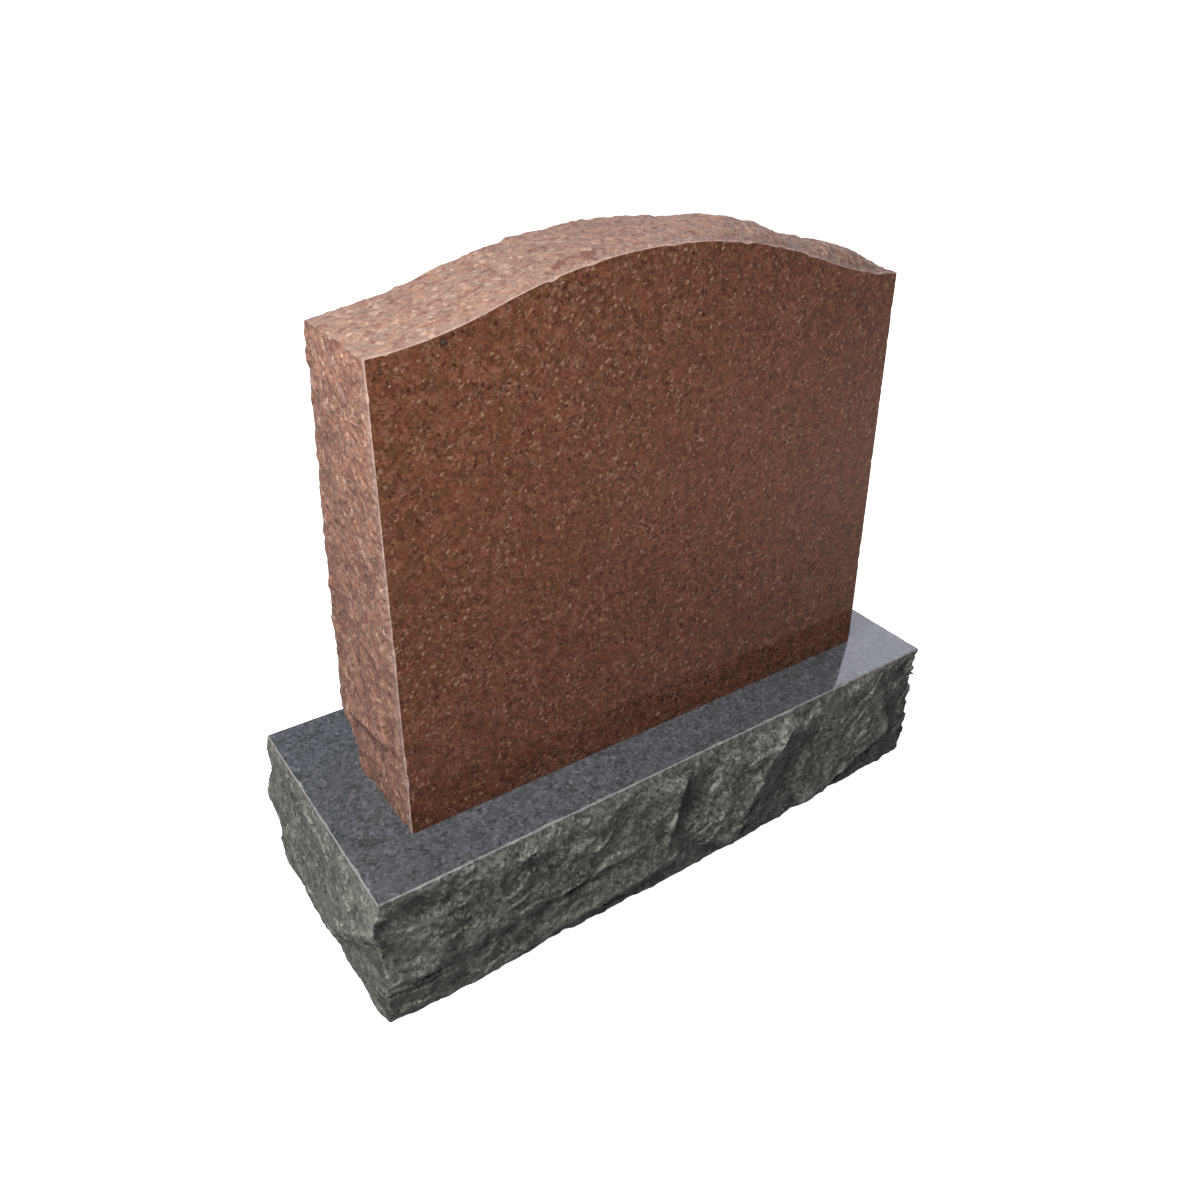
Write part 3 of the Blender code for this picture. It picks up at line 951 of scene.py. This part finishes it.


# %% [markdown]
# ## Finishes
#
# A polished face mirrors the room softly. Polish on red granite tints what it mirrors, so its specular
# tint is red. On a broken face the crystals scatter light, each from small flats of its own tilt, which
# a bump gives. Hollows get painted shade and ridges a painted highlight: the colour is darker or lighter
# by how far each point rises. Ridges are also bruised pale. The blows ran back from the arris: they
# frosted the stone beside it, drew faint scratches out on the sides, and left fine dark cracks. Dust lies
# on the tablet's top, with pits and pale grains that break through it. The pale line of the arris is
# wider where the stone was knocked.

# %% Finishes
POLISH_PATCH = 0.004
SAW_MARK, SAW_DEPTH, SAW_PATCH = 0.0015, 0.0002, 0.010
DUST_PATCH = 0.012
PIT_SHARE, PALE_SHARE, DUST_BREAK = 0.13, 0.07, 0.80
CRACK_WIDTH, CRACK_GAPS, CRACK_STRETCH = 0.032, 0.57, 0.5
SCRATCH_STRETCH = 0.82
SPECKLE_SIZE = 0.006
BRUISE_PATCH = 0.030
FROST_BAND, FROST_PATCH = (0.015, 0.002), 0.008
ARRIS_PATCH, ARRIS_FINEST = 0.012, 0.0009


def polished(name, look):
    material, g, shader = start_material(name)
    place, colour = granite(g, look)
    gloss = g.noise(place, POLISH_PATCH).ramp(0.3, 0.7, *look["roughness"])
    g.give(shader, {"Base Color": colour, "Roughness": gloss, "IOR": look["ior"],
                    "Specular Tint": (*look["mirror"], 1.0)})
    return material


def attribute(g, name):
    return g.node("ShaderNodeAttribute", {"attribute_name": name}, {}, "Fac")


def scratched(g, place, up, colour, look):
    """Pale and dark scratches on what doesn't face up, drawn out along the way of the blows."""
    scratch = g.noise(drawn_out(g, place, BLOW_WAY, SCRATCH_STRETCH), look["scratch"], 3.0, 0.6)
    clear = (1 - up) * look["scratch_strength"]
    colour = g.mix(scratch.ramp(0.55, 0.68) * clear, colour, look["pale"])
    return g.mix(scratch.ramp(0.45, 0.34) * clear, colour, look["deep"])


def dusted(g, place, up, colour, look):
    """Dust on what faces up, with small pits and pale grains that break through it."""
    settled = g.noise(place, DUST_PATCH, 3.0, 0.6).ramp(0.35, 0.62, 0.45, 1.0)
    colour = g.mix(up * settled * look["dust"], colour, look["dusty"])
    number = crystals(g, shifted(g, place, 11.0), look["pit"])
    broken_through = up * (look["dust"] * DUST_BREAK)
    colour = g.mix((number < PIT_SHARE) * broken_through, colour, look["deep"])
    return g.mix((number > 1.0 - PALE_SHARE) * broken_through, colour, look["pale"])


def cracked(g, place, colour, look):
    """Fine dark cracks, drawn out along one way."""
    lying = drawn_out(g, place, look["crack_way"], CRACK_STRETCH)
    lines = fine_lines(g, lying, look["crack"], CRACK_WIDTH, CRACK_GAPS)
    return g.mix(lines * 0.9, colour, look["deep"])


def knocked_arris(g, place, up, speckle, colour, look):
    """A frosted band beside the arris, and the pale line of the arris and of the corners."""
    arris = attribute(g, "from_arris")
    frosted = arris.ramp(*FROST_BAND) * g.noise(place, FROST_PATCH, 3.0, 0.6).ramp(0.3, 0.6)
    colour = g.mix(frosted * (1 - up * 0.6) * look["frost"], colour, look["pale"])
    worn = g.noise(place, ARRIS_PATCH, 4.0, 0.7).ramp(0.35, 0.75, ARRIS_FINEST, look["arris"])
    line = (arris / worn).ramp(0.5, 1.0, 1.0, 0.0)
    dotted = (attribute(g, "from_corner") / worn).ramp(0.5, 1.2, 1.0, 0.0) * speckle * 0.7
    line = g.maths("MAXIMUM", line, dotted) * (1 - up * 0.45)
    return g.mix(line * look["arris_strength"], colour, look["arris_tint"])


def broken(name, look):
    material, g, shader = start_material(name)
    place, colour = granite(g, look)
    rise = attribute(g, "rise")
    facing = g.node("ShaderNodeNewGeometry", {}, {}, "True Normal")
    up = g.part(facing, "Z").ramp(0.35, 0.85)
    # painted shade and painted highlight: the colour is darker in hollows and lighter on ridges, by how far
    # each point rises
    colour = g.scaled(colour, rise.ramp(-1.2, 1.2, look["hollow"], look["painted_ridge_highlight"]))
    colour = scratched(g, place, up, colour, look)
    if "dust" in look:
        colour = dusted(g, place, up, colour, look)
    colour = cracked(g, place, colour, look)
    speckle = g.noise(place, SPECKLE_SIZE, 3.0, 0.7).ramp(0.42, 0.60)
    hit = rise + g.noise(place, BRUISE_PATCH) * 2.0 + attribute(g, "bruise") * 3.0
    colour = g.mix(hit.ramp(1.9, 3.2) * speckle * look["bruise"], colour, look["pale"])
    colour = knocked_arris(g, place, up, speckle, colour, look)
    height = facets(g, place, look["bump_size"]) + g.noise(place, look["bump_size"] * 0.7, 3.0, 0.6) * 0.8
    bump = g.node("ShaderNodeBump", {}, {"Height": height, "Distance": look["bump"], "Strength": 1.0})
    g.give(shader, {"Base Color": colour, "Normal": bump, "Roughness": speckle * 0.15 + 0.75,
                    "Specular IOR Level": look["glint"]})
    return material


def sawn(name, look):
    material, g, shader = start_material(name)
    place, colour = granite(g, look)
    height = g.noise(place, SAW_MARK, 3.0, 0.6)
    bump = g.node("ShaderNodeBump", {}, {"Height": height, "Distance": SAW_DEPTH, "Strength": 0.6})
    gloss = g.noise(place, SAW_PATCH).ramp(0.3, 0.7, 0.5, 0.65)
    g.give(shader, {"Base Color": colour, "Normal": bump, "Roughness": gloss})
    return material


# %% [markdown]
# ## Two granites
#
# Each stone's looks are plain values: colours, crystal sizes in metres with how much their tone
# varies, and for each kind of fleck its colour, size, share of all crystals and strength. A streak has a
# colour, a size and a strength, and a knot a place, a reach, a colour and a strength.

# %% Looks of the red and the dark granite
RED_KNOT = (-0.2344, -0.0407, 0.6100)
RED_POLISHED = {
    "patch": 0.014, "ground": ((0.114, 0.052, 0.027), (0.155, 0.054, 0.034)),
    "tones": ((0.0062, 0.50), (0.0026, 0.68)),
    "flecks": (((0.41, 0.255, 0.180), 0.0023, 0.050, 0.90),
               ((0.27, 0.113, 0.084), 0.0034, 0.100, 0.60),
               ((0.010, 0.007, 0.005), 0.0028, 0.045, 0.95),
               ((0.044, 0.041, 0.030), 0.0040, 0.016, 0.85)),
    "streaks": (((0.31, 0.175, 0.120), 0.0060, 0.65), ((0.255, 0.108, 0.081), 0.0085, 0.55)),
    "knots": ((RED_KNOT, 0.0058, (0.006, 0.005, 0.004), 0.9),
              (RED_KNOT, 0.0034, (0.060, 0.072, 0.062), 0.9)),
    "roughness": (0.07, 0.10), "ior": 1.5, "mirror": (1.0, 0.36, 0.20),
}
RED_BROKEN = {
    "patch": 0.014, "ground": ((0.257, 0.123, 0.090), (0.245, 0.133, 0.099)),
    "tones": ((0.0044, 0.40), (0.0022, 0.45)),
    "flecks": (((0.48, 0.36, 0.285), 0.0028, 0.085, 0.80),
               ((0.18, 0.062, 0.048), 0.0034, 0.110, 0.75),
               ((0.070, 0.044, 0.036), 0.0028, 0.066, 0.80),
               ((0.130, 0.125, 0.100), 0.0036, 0.025, 0.55),
               ((0.100, 0.036, 0.028), 0.0060, 0.012, 0.75)),
    # the first two values are factors for painted shade in hollows and a painted highlight on ridges
    "hollow": 0.62, "painted_ridge_highlight": 1.25, "bruise": 0.5, "frost": 0.45,
    "pale": (0.40, 0.285, 0.24), "deep": (0.13, 0.050, 0.038),
    "scratch": 0.0045, "scratch_strength": 0.46,
    "dust": 0.70, "dusty": (0.232, 0.163, 0.132), "pit": 0.0044,
    "crack": 0.022, "crack_way": (0.96, 0.28, 0.0),
    "arris": 0.0030, "arris_strength": 0.75, "arris_tint": (0.45, 0.325, 0.275),
    "bump_size": 0.0036, "bump": 0.0018, "glint": 0.3,
}
RED_SAWN = {
    "patch": 0.014, "ground": ((0.245, 0.100, 0.070), (0.205, 0.118, 0.090)),
    "tones": ((0.0040, 0.35), (0.0020, 0.40)),
    "flecks": (((0.42, 0.29, 0.22), 0.0028, 0.080, 0.80),
               ((0.060, 0.038, 0.030), 0.0028, 0.060, 0.85)),
}
DARK_POLISHED = {
    "patch": 0.016, "ground": ((0.079, 0.085, 0.103), (0.058, 0.066, 0.073)),
    "tones": ((0.0034, 0.45), (0.0017, 0.45)),
    "flecks": (((0.145, 0.152, 0.178), 0.0028, 0.120, 0.70),
               ((0.025, 0.028, 0.029), 0.0030, 0.140, 0.80)),
    "knots": (((-0.3385, -0.0640, 0.1600), 0.015, (0.022, 0.024, 0.026), 0.5),),
    "roughness": (0.075, 0.09), "ior": 1.5, "mirror": (1.0, 1.0, 1.0),
}
DARK_BREAK_WAY = (0.66, 0.66, 0.34)
DARK_BROKEN = {
    "patch": 0.022, "ground": ((0.172, 0.176, 0.159), (0.116, 0.120, 0.107)),
    "tones": ((0.0040, 0.55), (0.0021, 0.55)),
    "flecks": (((0.36, 0.37, 0.34), 0.0028, 0.110, 0.80),
               ((0.036, 0.039, 0.033), 0.0032, 0.180, 0.80),
               ((0.25, 0.26, 0.235), 0.0046, 0.070, 0.55)),
    # the first two values are factors for painted shade in hollows and a painted highlight on ridges
    "hollow": 0.55, "painted_ridge_highlight": 1.30, "bruise": 0.7, "frost": 0.12,
    "pale": (0.40, 0.42, 0.395), "deep": (0.044, 0.047, 0.039),
    "scratch": 0.0050, "scratch_strength": 0.25,
    "crack": 0.022, "crack_way": DARK_BREAK_WAY,
    "arris": 0.0034, "arris_strength": 0.80, "arris_tint": (0.40, 0.42, 0.42),
    "bump_size": 0.0034, "bump": 0.0016, "glint": 0.35,
}
DARK_SAWN = {
    "patch": 0.018, "ground": ((0.150, 0.154, 0.150), (0.125, 0.128, 0.125)),
    "tones": ((0.0042, 0.35), (0.0020, 0.35)),
    "flecks": (((0.26, 0.265, 0.265), 0.0034, 0.120, 0.70),
               ((0.06, 0.062, 0.062), 0.0036, 0.120, 0.70)),
}

# %% [markdown]
# ## The two pieces
#
# Now each mesh goes through the break tree with its own sizes: the dark base breaks coarser than the
# red tablet. The result is turned into a plain mesh, shaded smooth between its crisp rims, and put in
# the place of its solid.

# %% Break and finish the stones
CRISP_ANGLE = radians(38)


def finished_stone(mesh, node, values):
    """A stone put through the break tree, as a plain mesh that stands for its solid."""
    stone = new_object(mesh.name, mesh)
    modifier = stone.modifiers.new("finer break", "NODES")
    modifier.node_group = BREAK
    for item in BREAK.interface.items_tree:
        if item.in_out == "INPUT" and item.name in values:
            modifier[item.identifier] = values[item.name]
    plain = bpy.data.meshes.new_from_object(stone.evaluated_get(bpy.context.evaluated_depsgraph_get()))
    stone.modifiers.clear()
    stone.data = plain
    plain.shade_smooth()
    plain.set_sharp_from_angle(angle=CRISP_ANGLE)
    for face in plain.polygons:
        if len(face.vertices) > 4:
            face.use_smooth = False
    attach(stone, "root")
    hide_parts(node)
    print(stone.name, len(plain.vertices), "points, materials", [m.name for m in plain.materials])


finished_stone(BASE_MESH, "base", {
    "Seed": 4.0, "Lump Size": 0.030, "Lump Height": 0.0024, "Bowl Size": 0.014, "Bowl Height": 0.0010,
    "Grain Size": 0.0064, "Grain Height": 0.0008, "Step Size": 0.050, "Step Height": 0.0028,
    "Step Way": DARK_BREAK_WAY, "Nibble Size": 0.016, "Nibble Depth": 0.0016, "Calm Width": 0.012,
    "Polished": polished("dark granite, polished", DARK_POLISHED),
    "Broken": broken("dark granite, broken", DARK_BROKEN),
    "Sawn": sawn("dark granite, sawn", DARK_SAWN),
})
finished_stone(TABLET_MESH, "tablet", {
    "Seed": 9.0, "Lump Size": 0.026, "Lump Height": 0.0017, "Bowl Size": 0.012, "Bowl Height": 0.0011,
    "Grain Size": 0.0060, "Grain Height": 0.0008, "Step Size": 0.036, "Step Height": 0.0014,
    "Step Way": BLOW_WAY, "Nibble Size": 0.012, "Nibble Depth": 0.0018, "Calm Width": 0.010,
    "Polished": polished("red granite, polished", RED_POLISHED),
    "Broken": broken("red granite, broken", RED_BROKEN),
    "Sawn": sawn("red granite, sawn", RED_SAWN),
})

# %% [markdown]
# ## Last look at the size
#
# The finer break must not make the stone bigger, so we print both boxes side by side.

# %% Boxes
FINISHED_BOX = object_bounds()
for part, box in (("solids", SOLID_BOX), ("finished", FINISHED_BOX)):
    print(part, [round(v, 4) for corner in box for v in corner])
